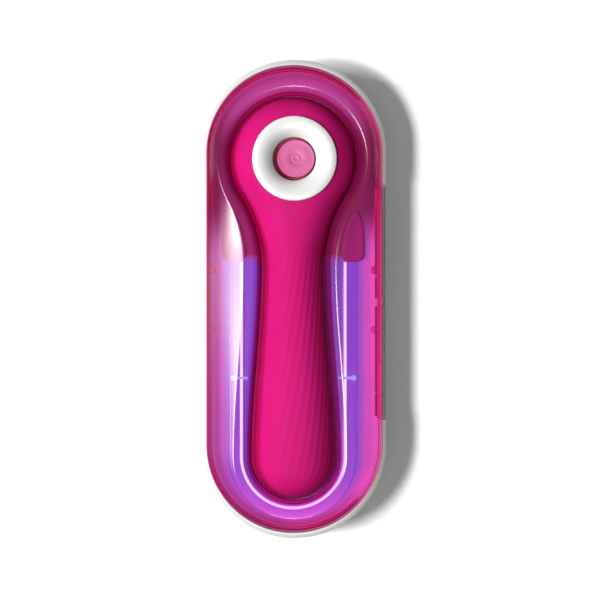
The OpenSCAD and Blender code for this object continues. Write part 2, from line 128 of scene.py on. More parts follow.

# Where the painted light changes: the lid's low edges get a painted glow, and the tray's top
# painted lit and shaded tones and a painted glow. Start and end of each change; U is the distance
# from the middle line of the light guide's U.
TONGUE_GLOW_Z = (TONGUE_Z + 0.6 * MM, TONGUE_Z + 0.3 * MM)
SKIRT_GLOW_FROM_Z = (SKIRT_Z - 0.4 * MM, SKIRT_Z - 0.2 * MM)
SKIRT_GLOW_TO_Z = (SKIRT_Z + 0.1 * MM, SKIRT_Z + 0.3 * MM)
TRAY_LIT_Y = (38 * MM, 18 * MM)
TRAY_GUIDE_Y = (19 * MM, 15 * MM)
TRAY_OUTER_U = (GUIDE_OUT - 0.4 * MM, GUIDE_OUT + 0.8 * MM)
TRAY_INNER_U = (GUIDE_IN + 0.6 * MM, GUIDE_IN - 1.2 * MM)
TRAY_BESIDE_U = (GUIDE_OUT + 4.2 * MM, GUIDE_OUT - 0.4 * MM)
TRAY_END_Y = (62 * MM, 84 * MM)
TRAY_LIT_Z = (cradle_high.z - 1.2 * MM, cradle_high.z - 0.6 * MM)
BEND_Y = (-68 * MM, -90 * MM)


# ---------------------------------------------------------------- small helpers

def mix(a, b, t):
    return a + (b - a) * t


def ease(t):
    t = min(1.0, max(0.0, t))
    return t * t * (3 - 2 * t)


def arc_entry(y, r, a):
    """Outline entry (x, y, normal x, normal y) on an arc centred at (0, y)."""
    return (r * math.cos(a), y + r * math.sin(a), math.cos(a), math.sin(a))


def neck_entry(a):
    x = NECK_X - NECK_R * math.cos(a)
    return (x, WAIST_Y + NECK_R * math.sin(a), math.cos(a), -math.sin(a))


def handle_entry(t):
    """Entry on the handle's side, t from 0 at the waist to 1 at the tail's arc."""
    dx = (BULB_R - WAIST_W) * 6 * t * (1 - t)
    dy = WAIST_Y - BULB_Y
    long = math.hypot(dx, dy)
    return (mix(WAIST_W, BULB_R, ease(t)), mix(WAIST_Y, BULB_Y, t), dy / long, dx / long)


def half_outline(head, neck, handle, bulb):
    """Right half of the scrubber's outline: points with their outward normals, head to tail."""
    top, low = math.pi / 2, -NECK_A
    half = [arc_entry(HEAD_Y, HEAD_R, mix(top, low, i / head)) for i in range(head + 1)]
    half += [neck_entry(NECK_A * (1 - i / neck)) for i in range(1, neck + 1)]
    half += [handle_entry(i / handle) for i in range(1, handle + 1)]
    half += [arc_entry(BULB_Y, BULB_R, -top * i / bulb) for i in range(1, bulb + 1)]
    return half


def whole_outline(head, neck, handle, bulb):
    half = half_outline(head, neck, handle, bulb)
    return half + [(-x, y, -nx, ny) for x, y, nx, ny in reversed(half[1:-1])]


def reach(e, r, s):
    """Distance from an outline entry, along its normal, to a stadium of radius r."""
    x, y, nx, ny = e
    if abs(nx) > 1e-6:
        t = (r - abs(x)) / abs(nx)
        if abs(y + t * ny) <= s:
            return t
    cy = math.copysign(s, y)
    b = x * nx + (y - cy) * ny
    c = x * x + (y - cy) ** 2 - r * r
    return math.sqrt(b * b - c) - b


def rounded(points, seg=4):
    """Rounds the corners of a closed section. Each point is (t, z, radius); radius 0 stays."""
    out = []
    n = len(points)
    for i, (t, z, r) in enumerate(points):
        if r <= 0:
            out.append((t, z))
            continue
        p = Vector((t, z))
        a = Vector(points[i - 1][:2]) - p
        b = Vector(points[(i + 1) % n][:2]) - p
        r = min(r, a.length * 0.45, b.length * 0.45)
        a, b = p + a.normalized() * r, p + b.normalized() * r
        for k in range(seg + 1):
            u = k / seg
            out.append(tuple((1 - u) ** 2 * a + 2 * u * (1 - u) * p + u * u * b))
    return out


def mesh_object(name, verts, faces, sharp=None):
    mesh = bpy.data.meshes.new(name)
    mesh.from_pydata(verts, [], faces)
    mesh.validate()
    bm = bmesh.new()
    bm.from_mesh(mesh)
    bmesh.ops.recalc_face_normals(bm, faces=bm.faces)
    bm.to_mesh(mesh)
    bm.free()
    for p in mesh.polygons:
        p.use_smooth = True
    if sharp:
        mesh.set_sharp_from_angle(angle=math.radians(sharp))
    obj = bpy.data.objects.new(name, mesh)
    bpy.context.scene.collection.objects.link(obj)
    return obj


def ring_faces(m, n, close_m=True):
    """Quads between m rings of n points each."""
    faces = []
    for j in range(m if close_m else m - 1):
        for i in range(n):
            k = (i + 1) % n
            a, b = j * n, (j + 1) % m * n
            faces.append((a + i, a + k, b + k, b + i))
    return faces


def lathe(name, profile, centre, steps=160, sharp=40, closed=True):
    """Turns a profile of (radius, z) round a vertical axis; a radius of 0 becomes a pole."""
    verts, rings = [], []
    for r, z in profile:
        if r < 1e-9:
            rings.append([len(verts)] * steps)
            verts.append((centre.x, centre.y, z))
            continue
        rings.append(list(range(len(verts), len(verts) + steps)))
        for i in range(steps):
            a = 2 * math.pi * i / steps
            verts.append((centre.x + r * math.cos(a), centre.y + r * math.sin(a), z))
    faces = []
    pairs = list(zip(rings, rings[1:] + ([rings[0]] if closed else [])))
    for low, high in pairs:
        for i in range(steps):
            k = (i + 1) % steps
            quad = []
            for v in (low[i], low[k], high[k], high[i]):
                if v not in quad:
                    quad.append(v)
            if len(quad) > 2:
                faces.append(quad)
    return mesh_object(name, verts, faces, sharp)


# ---------------------------------------------------------------- materials

def node_tree(name):
    """New material without nodes, and its node tree."""
    m = bpy.data.materials.new(name)
    m.use_nodes = True
    m.node_tree.nodes.clear()
    return m, m.node_tree


def add(nt, kind, **values):
    """Adds a node and sets its inputs (names with _ for spaces) or its own properties."""
    node = nt.nodes.new(kind)
    for key, value in values.items():
        label = key.replace("_", " ")
        if label in node.inputs:
            node.inputs[label].default_value = value
        else:
            setattr(node, key, value)
    return node


def rgb(r, g, b):
    return (r, g, b, 1.0)


def noise(nt, scale, detail=3.0, rough=0.5, stretch=(1, 1, 1)):
    coords = add(nt, "ShaderNodeTexCoord")
    mapping = add(nt, "ShaderNodeMapping")
    mapping.inputs["Scale"].default_value = stretch
    tex = add(nt, "ShaderNodeTexNoise", Scale=scale, Detail=detail, Roughness=rough)
    nt.links.new(coords.outputs["Object"], mapping.inputs["Vector"])
    nt.links.new(mapping.outputs["Vector"], tex.inputs["Vector"])
    return tex


def ramp(nt, source, low, high, a=0.35, b=0.65):
    r = add(nt, "ShaderNodeValToRGB")
    r.color_ramp.elements[0].position = a
    r.color_ramp.elements[0].color = low
    r.color_ramp.elements[1].position = b
    r.color_ramp.elements[1].color = high
    nt.links.new(source, r.inputs["Fac"])
    return r.outputs["Color"]


def vary(nt, source, low, high):
    """Maps a 0 to 1 texture value to the range low..high."""
    m = add(nt, "ShaderNodeMapRange")
    m.inputs["To Min"].default_value = low
    m.inputs["To Max"].default_value = high
    nt.links.new(source, m.inputs["Value"])
    return m.outputs["Result"]


def bump(nt, source, strength, distance):
    b = add(nt, "ShaderNodeBump", Strength=strength, Distance=distance)
    nt.links.new(source, b.inputs["Height"])
    return b


def u_distance(nt, split):
    """Distance from the middle line of the light guide's U."""
    below = add(nt, "ShaderNodeMath", operation="SUBTRACT")
    below.inputs[1].default_value = BULB_Y
    nt.links.new(split.outputs["Y"], below.inputs[0])
    bend = add(nt, "ShaderNodeMath", operation="MINIMUM")
    bend.inputs[1].default_value = 0.0
    nt.links.new(below.outputs["Value"], bend.inputs[0])
    flat = add(nt, "ShaderNodeCombineXYZ")
    nt.links.new(split.outputs["X"], flat.inputs["X"])
    nt.links.new(bend.outputs["Value"], flat.inputs["Y"])
    size = add(nt, "ShaderNodeVectorMath", operation="LENGTH")
    nt.links.new(flat.outputs["Vector"], size.inputs[0])
    return size.outputs["Value"]


def along(nt, axis, start, end):
    """0 to 1 between two places along an axis of the object, or outward from the U's middle."""
    coords = add(nt, "ShaderNodeTexCoord")
    split = add(nt, "ShaderNodeSeparateXYZ")
    nt.links.new(coords.outputs["Object"], split.inputs["Vector"])
    m = add(nt, "ShaderNodeMapRange", interpolation_type="SMOOTHSTEP")
    m.inputs["From Min"].default_value = start
    m.inputs["From Max"].default_value = end
    place = u_distance(nt, split) if axis == "U" else split.outputs[axis]
    nt.links.new(place, m.inputs["Value"])
    return m.outputs["Result"]


def combine(nt, operation, a, b):
    m = add(nt, "ShaderNodeMath", operation=operation)
    nt.links.new(a, m.inputs[0])
    nt.links.new(b, m.inputs[1])
    return m.outputs["Value"]


def blend(nt, share, a, b):
    m = add(nt, "ShaderNodeMix", data_type="RGBA")
    nt.links.new(share, m.inputs["Factor"])
    for socket, value in ((m.inputs[6], a), (m.inputs[7], b)):
        if isinstance(value, tuple):
            socket.default_value = value
        else:
            nt.links.new(value, socket)
    return m.outputs[2]


def plastic(name, low, high, rough=(0.25, 0.35), grain=900.0, depth=0.00002, strength=0.3,
            patch=60.0, edge=0.0, **extra):
    """Moulded material: mottled colour, varied roughness and a fine moulded grain."""
    m, nt = node_tree(name)
    p = add(nt, "ShaderNodeBsdfPrincipled")
    for key, value in extra.items():
        p.inputs[key.replace("_", " ")].default_value = value
    colour = noise(nt, patch, 4.0)
    fine = noise(nt, grain, 2.0)
    nt.links.new(ramp(nt, colour.outputs["Fac"], low, high), p.inputs["Base Color"])
    nt.links.new(vary(nt, colour.outputs["Fac"], *rough), p.inputs["Roughness"])
    normal = bump(nt, fine.outputs["Fac"], strength, depth)
    if edge:
        bevel = add(nt, "ShaderNodeBevel", Radius=edge, samples=4)
        nt.links.new(bevel.outputs["Normal"], normal.inputs["Normal"])
    nt.links.new(normal.outputs["Normal"], p.inputs["Normal"])
    out = add(nt, "ShaderNodeOutputMaterial")
    nt.links.new(p.outputs["BSDF"], out.inputs["Surface"])
    return m


def metal(name, low, high, rough=(0.2, 0.35), stretch=(1, 1, 12)):
    m, nt = node_tree(name)
    p = add(nt, "ShaderNodeBsdfPrincipled", Metallic=1.0)
    brushed = noise(nt, 700.0, 3.0, stretch=stretch)
    nt.links.new(ramp(nt, brushed.outputs["Fac"], low, high), p.inputs["Base Color"])
    nt.links.new(vary(nt, brushed.outputs["Fac"], *rough), p.inputs["Roughness"])
    normal = bump(nt, brushed.outputs["Fac"], 0.2, 0.00001)
    nt.links.new(normal.outputs["Normal"], p.inputs["Normal"])
    out = add(nt, "ShaderNodeOutputMaterial")
    nt.links.new(p.outputs["BSDF"], out.inputs["Surface"])
    return m


def silicone(name, low, high):
    """Soft matte silicone: slight sheen, very fine grain and faint cloudiness."""
    m, nt = node_tree(name)
    p = add(nt, "ShaderNodeBsdfPrincipled")
    p.inputs["Specular IOR Level"].default_value = 0.03
    cloud = noise(nt, 45.0, 5.0)
    grain = noise(nt, 2600.0, 2.0)
    nt.links.new(ramp(nt, cloud.outputs["Fac"], low, high), p.inputs["Base Color"])
    nt.links.new(vary(nt, cloud.outputs["Fac"], 0.5, 0.62), p.inputs["Roughness"])
    normal = bump(nt, grain.outputs["Fac"], 0.25, 0.000012)
    nt.links.new(normal.outputs["Normal"], p.inputs["Normal"])
    out = add(nt, "ShaderNodeOutputMaterial")
    nt.links.new(p.outputs["BSDF"], out.inputs["Surface"])
    return m


def on_front(nt, faces, share):
    """The share on a piece's outer faces, and 0 on faces that are seen from inside it."""
    m = add(nt, "ShaderNodeMapRange")
    m.inputs["To Min"].default_value = share
    m.inputs["To Max"].default_value = 0.0
    nt.links.new(faces.outputs["Backfacing"], m.inputs["Value"])
    return m.outputs["Result"]


def mix_shaders(nt, share, a, b):
    m = add(nt, "ShaderNodeMixShader")
    nt.links.new(share, m.inputs["Fac"])
    nt.links.new(a, m.inputs[1])
    nt.links.new(b, m.inputs[2])
    return m.outputs["Shader"]


def clear_tint(name, absorb, edge, gloss_rough, gloss_share, haze, haze_share, painted_lip_glow):
    """Clear tinted plastic: see-through, glossy by Fresnel, its colour taken up with depth,
    deeper where it is seen edge-on, with a little haze on its outer faces, and with a painted
    glow (painted light) on its low edges.

    absorb is what one metre of it takes off red, green and blue, as absorption coefficients."""
    m, nt = node_tree(name)
    clear = add(nt, "ShaderNodeBsdfTransparent")
    facing = add(nt, "ShaderNodeLayerWeight", Blend=0.5)
    nt.links.new(ramp(nt, facing.outputs["Facing"], rgb(1, 1, 1), rgb(*edge), 0.2, 0.75),
                 clear.inputs["Color"])
    gloss = add(nt, "ShaderNodeBsdfGlossy", Color=rgb(1, 1, 1))
    streaks = noise(nt, 140.0, 4.0, stretch=(1.0, 0.25, 1.0))
    nt.links.new(vary(nt, streaks.outputs["Fac"], *gloss_rough), gloss.inputs["Roughness"])
    ripple = noise(nt, 55.0, 2.0)
    normal = bump(nt, ripple.outputs["Fac"], 0.12, 0.0001)
    nt.links.new(normal.outputs["Normal"], gloss.inputs["Normal"])
    fresnel = add(nt, "ShaderNodeFresnel", IOR=1.5)
    nt.links.new(normal.outputs["Normal"], fresnel.inputs["Normal"])
    faces = add(nt, "ShaderNodeNewGeometry")
    share = combine(nt, "MULTIPLY", fresnel.outputs["Fac"], on_front(nt, faces, gloss_share))
    cloud = add(nt, "ShaderNodeBsdfDiffuse", Color=rgb(*haze))
    body = mix_shaders(nt, on_front(nt, faces, haze_share), clear.outputs["BSDF"],
                       cloud.outputs["BSDF"])
    both = mix_shaders(nt, share, body, gloss.outputs["BSDF"])
    density = max(absorb)
    inside = add(nt, "ShaderNodeVolumeAbsorption", Density=density)
    inside.inputs["Color"].default_value = rgb(*[1 - a / density for a in absorb])
    # Painted glow on the lid's low edges, at the tongue's foot and in a band at the skirt's foot;
    # the lid is no lamp.
    painted_edge_glow = add(nt, "ShaderNodeEmission", Strength=1.0)
    tongue = blend(nt, along(nt, "Z", *TONGUE_GLOW_Z), rgb(0, 0, 0), rgb(*painted_lip_glow))
    skirt = blend(nt, along(nt, "Z", *SKIRT_GLOW_FROM_Z), tongue, rgb(*painted_lip_glow))
    nt.links.new(blend(nt, along(nt, "Z", *SKIRT_GLOW_TO_Z), skirt, rgb(0, 0, 0)),
                 painted_edge_glow.inputs["Color"])
    all_of_it = add(nt, "ShaderNodeAddShader")
    nt.links.new(both, all_of_it.inputs[0])
    nt.links.new(painted_edge_glow.outputs["Emission"], all_of_it.inputs[1])
    out = add(nt, "ShaderNodeOutputMaterial")
    nt.links.new(all_of_it.outputs["Shader"], out.inputs["Surface"])
    nt.links.new(inside.outputs["Volume"], out.inputs["Volume"])
    return m


def glowing(name, low, high, glow, strength, bend_glow=None):
    """Plastic that glows along its length, a little unevenly, in another tone at the bend: the lit
    light guide and the lamps, and painted glow on the clips and, in part, the rib.
    """
    m, nt = node_tree(name)
    p = add(nt, "ShaderNodeBsdfPrincipled")
    p.inputs["Emission Strength"].default_value = strength
    cloud = noise(nt, 35.0, 3.0, stretch=(1, 0.3, 1))
    nt.links.new(ramp(nt, cloud.outputs["Fac"], low, high), p.inputs["Base Color"])
    lit = ramp(nt, cloud.outputs["Fac"], rgb(*[0.85 * g for g in glow]), rgb(*glow))
    if bend_glow:
        lit = blend(nt, along(nt, "Y", *BEND_Y), lit, rgb(*bend_glow))
    nt.links.new(lit, p.inputs["Emission Color"])
    nt.links.new(vary(nt, cloud.outputs["Fac"], 0.12, 0.24), p.inputs["Roughness"])
    out = add(nt, "ShaderNodeOutputMaterial")
    nt.links.new(p.outputs["BSDF"], out.inputs["Surface"])
    return m


def two_part(name, axis, start, end, first, second, rough=(0.2, 0.3)):
    """Plastic whose colour passes from one pair to another along an axis."""
    m, nt = node_tree(name)
    p = add(nt, "ShaderNodeBsdfPrincipled")
    cloud = noise(nt, 50.0, 4.0)
    share = along(nt, axis, start, end)
    nt.links.new(blend(nt, share, ramp(nt, cloud.outputs["Fac"], *first),
                       ramp(nt, cloud.outputs["Fac"], *second)), p.inputs["Base Color"])
    nt.links.new(vary(nt, cloud.outputs["Fac"], *rough), p.inputs["Roughness"])
    fine = noise(nt, 900.0, 2.0)
    normal = bump(nt, fine.outputs["Fac"], 0.3, 0.00002)
    nt.links.new(normal.outputs["Normal"], p.inputs["Normal"])
    out = add(nt, "ShaderNodeOutputMaterial")
    nt.links.new(p.outputs["BSDF"], out.inputs["Surface"])
    return m


def tray_with_painted_light(name, painted_shade_tones, painted_lit_tones, painted_guide_tone, painted_well_glow, glow, painted_near_glow, painted_inner_glow, painted_end_glow):
    """Tray plastic with painted light and shade. Its top gets painted shade (darker tones) round
    the head, painted lit tones lower down and a bluer painted tone beside the guide, and a painted
    glow for the light guide's light: violet beside the guide and inside its U, pinker further out
    and at the bend, none between the head and the lamps, and a painted glow towards the head's end.
    Below its top it has a dim crimson painted glow in the wells' shade."""
    m, nt = node_tree(name)
    p = add(nt, "ShaderNodeBsdfPrincipled")
    p.inputs["Emission Strength"].default_value = 1.0
    cloud = noise(nt, 50.0, 4.0)
    on_top, by_guide = along(nt, "Z", *TRAY_LIT_Z), along(nt, "Y", *TRAY_GUIDE_Y)
    straight = combine(nt, "SUBTRACT", by_guide, along(nt, "Y", *BEND_Y))
    near = combine(nt, "MULTIPLY", along(nt, "U", *TRAY_BESIDE_U), straight)
    lit_share = combine(nt, "MAXIMUM", along(nt, "U", *TRAY_OUTER_U), by_guide)
    low_half = combine(nt, "MULTIPLY", along(nt, "Y", *TRAY_LIT_Y), lit_share)
    # Base colour: painted shade (darker tones) round the head, painted lit tones lower down, and a
    # bluer painted tone for the guide's light beside it.
    nt.links.new(blend(nt, low_half, ramp(nt, cloud.outputs["Fac"], *painted_shade_tones),
                       blend(nt, near, ramp(nt, cloud.outputs["Fac"], *painted_lit_tones), painted_guide_tone)),
                 p.inputs["Base Color"])
    # Emission: painted glow for the guide's light on the tray, beside the guide, inside its U and
    # further out, and towards the head's end.
    beside = blend(nt, along(nt, "U", *TRAY_INNER_U),
                   blend(nt, near, rgb(*glow), rgb(*painted_near_glow)), rgb(*painted_inner_glow))
    dark = blend(nt, along(nt, "Y", *TRAY_END_Y), rgb(0, 0, 0), rgb(*painted_end_glow))
    lit = blend(nt, low_half, dark, beside)
    # Below the tray's top, a dim crimson painted glow lightens the shade in the wells.
    nt.links.new(blend(nt, on_top, rgb(*painted_well_glow), lit), p.inputs["Emission Color"])
    nt.links.new(vary(nt, cloud.outputs["Fac"], 0.25, 0.4), p.inputs["Roughness"])
    bevel = add(nt, "ShaderNodeBevel", Radius=0.0004, samples=4)
    nt.links.new(bevel.outputs["Normal"], p.inputs["Normal"])
    out = add(nt, "ShaderNodeOutputMaterial")
    nt.links.new(p.outputs["BSDF"], out.inputs["Surface"])
    return m


MATERIALS = {
    "case_white": plastic("case_white", rgb(0.37, 0.368, 0.36), rgb(0.40, 0.398, 0.39),
                          (0.28, 0.4), edge=0.0004),
    "foot_rubber": plastic("foot_rubber", rgb(0.10, 0.10, 0.10), rgb(0.14, 0.14, 0.14),
                           (0.7, 0.85), 1500.0, 0.00006),
    # tray_pink: painted shade and painted light in its tones, painted glow in its emission.
    "tray_pink": tray_with_painted_light("tray_pink", (rgb(0.13, 0.07, 0.11), rgb(0.17, 0.09, 0.14)),
                          (rgb(0.38, 0.32, 0.38), rgb(0.44, 0.36, 0.44)),
                          rgb(0.10, 0.26, 0.40), (0.11, 0.002, 0.025), (0.11, 0.19, 0.35),
                          (0.05, 0.20, 0.46), (0.0, 0.16, 0.44), (0.26, 0.16, 0.30)),
    "guide_violet": glowing("guide_violet", rgb(0.10, 0.12, 0.30), rgb(0.13, 0.15, 0.36),
                            (0.13, 0.26, 1.0), 0.66, (0.52, 0.34, 1.0)),
    # clip_clear: the clips' glow is painted light; they are no lamps.
    "clip_clear": glowing("clip_clear", rgb(0.16, 0.40, 0.50), rgb(0.22, 0.46, 0.56),
                          (0.12, 1.0, 0.70), 1.2),
    "cover_magenta": plastic("cover_magenta", rgb(0.22, 0.09, 0.20), rgb(0.28, 0.12, 0.24),
                             (0.4, 0.5), edge=0.0003, Specular_IOR_Level=0.05),
    "lamp_white": glowing("lamp_white", rgb(0.50, 0.50, 0.55), rgb(0.60, 0.60, 0.65),
                          (0.25, 1.0, 0.55), 2.6),
    "board_green": plastic("board_green", rgb(0.02, 0.12, 0.05), rgb(0.03, 0.18, 0.08),
                           (0.35, 0.5), 400.0),
    "contact_gold": metal("contact_gold", rgb(0.85, 0.60, 0.22), rgb(0.95, 0.72, 0.32)),
    "steel": metal("steel", rgb(0.52, 0.52, 0.54), rgb(0.70, 0.70, 0.72)),
    "magnet": plastic("magnet", rgb(0.04, 0.04, 0.045), rgb(0.07, 0.07, 0.075), (0.4, 0.6)),
    # lid_magenta: its last colour is the painted glow on its low edges.
    "lid_magenta": clear_tint("lid_magenta", (55.0, 670.0, 195.0), (0.58, 0.005, 0.06),
                              (0.20, 0.24), 0.52, (0.90, 0.03, 0.32), 0.07, (0.17, 0.0, 0.012)),
    # hinge_grey: darker than the case's white, painted shade of the hinge recess.
    "hinge_grey": plastic("hinge_grey", rgb(0.20, 0.17, 0.185), rgb(0.24, 0.21, 0.225),
                          (0.5, 0.6)),
    # hinge_magenta: grey below LEAF_Z, painted shade of the hinge recess; magenta above.
    "hinge_magenta": two_part("hinge_magenta", "Z", LEAF_Z, LEAF_Z + 0.1 * MM,
                              (rgb(0.20, 0.17, 0.185), rgb(0.24, 0.21, 0.225)),
                              (rgb(0.42, 0.04, 0.22), rgb(0.48, 0.05, 0.26)), rough=(0.5, 0.6)),
    "skin_magenta": silicone("skin_magenta", rgb(0.315, 0.0040, 0.090), rgb(0.34, 0.0055, 0.101)),
    "chassis_grey": plastic("chassis_grey", rgb(0.30, 0.30, 0.32), rgb(0.38, 0.38, 0.40)),
    "battery_wrap": plastic("battery_wrap", rgb(0.05, 0.16, 0.42), rgb(0.07, 0.20, 0.50),
                            (0.15, 0.3)),
    "ring_white": plastic("ring_white", rgb(0.43, 0.428, 0.42), rgb(0.46, 0.458, 0.45),
                          (0.32, 0.42), 1400.0, 0.00001),
    # button_pink: darker crimson on the cap's sides and flange, painted shade in the groove round
    # the cap; pink on its face.
    "button_pink": two_part("button_pink", "Z", BUTTON_FACE_Z - 0.15 * MM, BUTTON_FACE_Z,
                            (rgb(0.20, 0.004, 0.014), rgb(0.24, 0.006, 0.018)),
                            (rgb(0.29, 0.032, 0.13), rgb(0.36, 0.055, 0.18)), rough=(0.45, 0.6)),
    "weight_brass": metal("weight_brass", rgb(0.60, 0.42, 0.18), rgb(0.72, 0.52, 0.24)),
}


def dress(obj, slot):
    obj.data.materials.clear()
    obj.data.materials.append(MATERIALS[slot])


def finish_piece(obj, slot, body, *nodes):
    dress(obj, slot)
    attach(obj, body)
    if nodes:
        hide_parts(*nodes)
    return obj


slots = {s["node"]: s["material_slot"] for s in frame["record"]["subparts"]}
for node, cad in frame["nodes"].items():
    for slot in cad.material_slots:
        slot.material = MATERIALS[slots[node]]


# ---------------------------------------------------------------- lid

def flank_rise(u):
    """Share of the flank's rise at u across it: steeper outside, easing towards the crest."""
    return u + FLANK_BEND * u * (1 - u)


def crest_distance(e):
    """From the opening to the outer edge of the crest, which widens towards the tail."""
    return mix(*CREST_D_MM, ease((HEAD_Y - e[1]) / (HEAD_Y - WAIST_Y))) * MM


def lid_section(e):
    """Closed section of the lid at one outline entry: distance outward, height, corner radius."""
    outer = reach(e, LID_R, LID_S)
    crest = crest_distance(e)
    rim = outer - 1.0 * MM
    rise = CREST_Z - SHOULDER_Z

    def flank(u, drop, start, end):
        return (mix(start, end, u), SHOULDER_Z - drop + rise * flank_rise(u), 0)

    tongue = TONGUE_Z
    if e[0] + outer * e[2] > TONGUE_FADE_X:
        past = abs(e[1] + outer * e[3]) - TONGUE_FADE_Y
        tongue = mix(SKIRT_Z, TONGUE_Z, ease(past / TONGUE_FADE))
    top = [(outer, SKIRT_Z, 0.2 * MM), (outer, SHOULDER_Z - 0.2 * MM, 0.9 * MM)]
    top += [flank(i / 12, 0, rim, crest) for i in range(1, 12)]
    top += [(crest, CREST_Z, 0.5 * MM), (LAND_D, CREST_Z - 0.05 * MM, 1.3 * MM),
            (LID_GAP, SLOPE_Z, 0.6 * MM), (LID_GAP, COLLAR_Z, 0.25 * MM)]
    collar = LID_GAP + COLLAR_T
    low = [(collar, COLLAR_Z, 0.25 * MM), (collar, SLOPE_Z - 0.7 * MM, 0.6 * MM),
           (LAND_D + 0.9 * MM, CREST_Z - LID_T, 1.6 * MM)]
    low += [flank(i / 8, LID_T, rim - 1.0 * MM, crest - 0.3 * MM) for i in range(7, 1, -1)]
    low += [(outer - TONGUE_IN, SHOULDER_Z - 1.5 * MM, 1.0 * MM)]
    low += [(outer - TONGUE_IN, tongue, 0.2 * MM), (outer - TONGUE_OUT, tongue, 0.2 * MM),
            (outer - TONGUE_OUT, SKIRT_Z, 0)]
    return rounded(top + low, 4)


def make_lid():
    outline = whole_outline(56, 24, 36, 36)
    verts = []
    sections = [lid_section(e) for e in outline]
    n, m = len(outline), len(sections[0])
    for j in range(m):
        for e, section in zip(outline, sections):
            t, z = section[j]
            verts.append((e[0] + t * e[2], e[1] + t * e[3], z))
    return mesh_object("tinted_lid", verts, ring_faces(m, n), 50)


finish_piece(make_lid(), "lid_magenta", "lid", "lid")


# ---------------------------------------------------------------- silicone skin with its ribs

def end_factor(v, n):
    v = min(1.0, max(0.0, v))
    return (1 - v ** n) ** (1 / n)


def half_height(y, up):
    t = ease((y - WAIST_Y) / (HEAD_Y - WAIST_Y))
    h = mix(HANDLE_HALF, HEAD_TOP if up else HEAD_LOW, t)
    return (h * end_factor((y - HEAD_Y) / HEAD_R, HEAD_N)
            * end_factor((BULB_Y - y) / BULB_R, HANDLE_N))


def rib_strength(y, a):
    """Fades the ribs out towards the head, the tail and the underside."""
    fade_in = ease((HEAD_Y - 30 * MM - y) / (22 * MM))
    fade_out = ease((y - (BULB_Y - BULB_R) - 2 * MM) / (12 * MM))
    above = ease((math.sin(a) + 0.35) / 0.5)
    return fade_in * fade_out * above


def skin_point(e, a):
    x, y = e[0], e[1]
    n = mix(HANDLE_N, HEAD_N, ease((y - WAIST_Y) / (HEAD_Y - WAIST_Y)))
    h = half_height(y, math.sin(a) > 0)
    c, s = math.cos(a), math.sin(a)
    rib = 0.5 * (1 + math.cos(RIB_COUNT * a + RIB_COUNT * RIB_TWIST * y)) * rib_strength(y, a)
    shrink = 1 - rib * RIB_DEPTH / max(x, 4 * MM)
    px = x * math.copysign(abs(c) ** (2 / n), c) * shrink
    pz = h * math.copysign(abs(s) ** (2 / n), s) * shrink
    return (px, y, MID_Z + pz)


def make_skin():
    """Skin: a loft from head to tail with twisted ribs on the handle, cut for the ring."""
    half = half_outline(60, 40, 110, 44)[1:-1]
    steps = 288
    verts = [skin_point(e, 2 * math.pi * k / steps) for e in half for k in range(steps)]
    m = len(half)
    faces = ring_faces(m, steps, close_m=False)
    first, last = len(verts), len(verts) + 1
    verts += [(0, HEAD_Y + HEAD_R, MID_Z), (0, BULB_Y - BULB_R, MID_Z)]
    for k in range(steps):
        j = (k + 1) % steps
        faces.append((first, j, k))
        faces.append((last, (m - 1) * steps + k, (m - 1) * steps + j))
    obj = mesh_object("silicone_skin", verts, faces)
    return cut_seat(obj)


def cut_seat(obj):
    """Takes the ring's seat out of the skin with a boolean, then drops the cutter."""
    r, low, high = RING_R + 0.02 * MM, MID_Z + 9 * MM, MID_Z + 30 * MM
    seat = lathe("seat_cutter", [(0, low), (r, low), (r, high), (0, high)],
                 Vector((0, HEAD_Y, 0)), closed=False)
    mod = obj.modifiers.new("seat", "BOOLEAN")
    mod.operation = "DIFFERENCE"
    mod.object = seat
    mod.solver = "EXACT"
    dg = bpy.context.evaluated_depsgraph_get()
    cut = bpy.data.meshes.new_from_object(obj.evaluated_get(dg))
    obj.modifiers.clear()
    old = obj.data
    obj.data = cut
    bpy.data.meshes.remove(old)
    bpy.data.objects.remove(seat)
    for p in obj.data.polygons:
        p.use_smooth = True
    obj.data.set_sharp_from_angle(angle=math.radians(40))
    return obj


finish_piece(make_skin(), "skin_magenta", "scrubber", "grip_skin")


# ---------------------------------------------------------------- ring and button

def arc(cx, cz, r, a0, a1, steps):
    """Points of an arc in the (radius, z) plane, angles in degrees."""
    angles = [math.radians(mix(a0, a1, i / steps)) for i in range(steps + 1)]
    return [(cx + r * math.cos(a), cz + r * math.sin(a)) for a in angles]


def make_ring():
    """Ring with a small outer edge radius and a wide roll down into the button's hole."""
    crest_z, foot = ring_high.z, ring_low.z
    edge_z = crest_z - RING_EDGE_R - 0.35 * MM
    roll_r, roll = 15.2 * MM, 7.4 * MM
    end = 180 - math.degrees(math.acos((roll_r - RING_HOLE_R) / roll))
    profile = [(RING_R, foot), (RING_R, edge_z)]
    profile += arc(RING_R - RING_EDGE_R, edge_z, RING_EDGE_R, 0, 78, 8)[1:]
    profile += [(RING_R - 1.1 * MM, crest_z - 0.08 * MM)]
    profile += arc(roll_r, crest_z - roll, roll, 90, end, 28)
    profile += [(RING_HOLE_R, foot)]
    return lathe("white_ring", profile, Vector((0, HEAD_Y, 0)), 192, 45)


